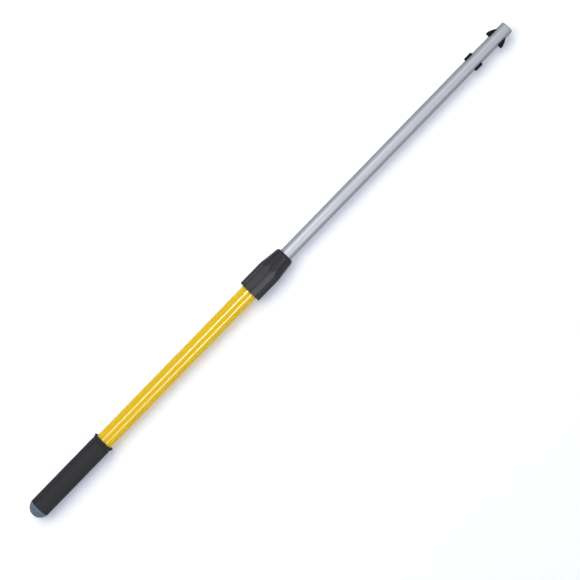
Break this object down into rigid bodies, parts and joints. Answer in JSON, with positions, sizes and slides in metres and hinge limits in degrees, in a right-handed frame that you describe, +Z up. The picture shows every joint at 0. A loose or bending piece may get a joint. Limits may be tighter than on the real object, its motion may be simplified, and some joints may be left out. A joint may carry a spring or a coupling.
{
  "type": "roller extension pole",
  "caption": "Telescopic painting pole with a rubber grip, a painted outer tube, a fluted twist-lock collar, a sliding aluminium tube and a sprung quick-connect tip.",
  "frame": {"origin": "on the floor under the middle of the pole's length, with the pole pulled fully out", "axes": "+X along the pole from the handle to the quick-connect tip, +Y through the left button and catch, +Z up"},
  "size_m": [0.956, 0.0358, 0.0352],
  "materials": {
    "yellow_paint": "gloss",
    "grip_rubber": "matt",
    "cap_plastic": "satin",
    "collar_plastic": "satin",
    "core_plastic": "satin",
    "latch_plastic": "satin",
    "nylon": "satin",
    "satin_aluminium": "satin",
    "steel": "satin",
    "seal_rubber": "matt"
  },
  "bodies": {
    "handle": {"outer_tube": "yellow_paint", "grip_sleeve": "grip_rubber", "end_cap": "cap_plastic", "lock_core": "core_plastic", "core_rivet_left": "steel", "core_rivet_right": "steel", "guide_bush": "nylon", "retaining_clip": "steel"},
    "collar": {"lock_collar": "collar_plastic", "wiper_ring": "seal_rubber"},
    "shoe_1": {"lock_shoe_1": "nylon"},
    "shoe_2": {"lock_shoe_2": "nylon"},
    "shoe_3": {"lock_shoe_3": "nylon"},
    "slider": {"slide_bush": "nylon"},
    "extension": {"inner_tube": "satin_aluminium", "inner_plug": "core_plastic", "stop_ring": "satin_aluminium", "latch_block": "latch_plastic", "latch_block_rivet_left": "steel", "latch_block_rivet_right": "steel", "pivot_pin_left": "steel", "pivot_pin_right": "steel", "return_spring": "steel"},
    "latch_left": {"latch_arm_left": "latch_plastic"},
    "latch_right": {"latch_arm_right": "latch_plastic"}
  },
  "joints": [
    {"name": "extension_slide", "type": "slide", "parent": "handle", "child": "slider", "axis": [1, 0, 0], "range_m": [-0.361, 0]},
    {"name": "extension_turn", "type": "hinge", "parent": "slider", "child": "extension", "pos_m": [0, 0, 0.01737], "axis": [1, 0, 0], "continuous": true},
    {"name": "collar_twist", "type": "hinge", "parent": "handle", "child": "collar", "pos_m": [0, 0, 0.01737], "axis": [1, 0, 0], "range_deg": [0, 60]},
    {"name": "shoe_1_slide", "type": "slide", "parent": "handle", "child": "shoe_1", "axis": [0, 0, 1], "range_m": [0, 0.0005]},
    {"name": "shoe_2_slide", "type": "slide", "parent": "handle", "child": "shoe_2", "axis": [0, -0.866, -0.5], "range_m": [0, 0.0005]},
    {"name": "shoe_3_slide", "type": "slide", "parent": "handle", "child": "shoe_3", "axis": [0, 0.866, -0.5], "range_m": [0, 0.0005]},
    {"name": "latch_left_press", "type": "hinge", "parent": "extension", "child": "latch_left", "pos_m": [0.358, 0.0034, 0.01737], "axis": [0, 0, -1], "range_deg": [0, 3.4], "stiffness_Nm_per_rad": 1, "springref_deg": -5.73, "deforming": ["return_spring"]},
    {"name": "latch_right_press", "type": "hinge", "parent": "extension", "child": "latch_right", "pos_m": [0.358, -0.0034, 0.01737], "axis": [0, 0, 1], "range_deg": [0, 3.4], "stiffness_Nm_per_rad": 1, "springref_deg": -5.73, "deforming": ["return_spring"]}
  ],
  "couplings": [
    {"joint": "shoe_1_slide", "follows": "collar_twist", "m_per_rad": 0.00047746},
    {"joint": "shoe_2_slide", "follows": "collar_twist", "m_per_rad": 0.00047746},
    {"joint": "shoe_3_slide", "follows": "collar_twist", "m_per_rad": 0.00047746}
  ]
}
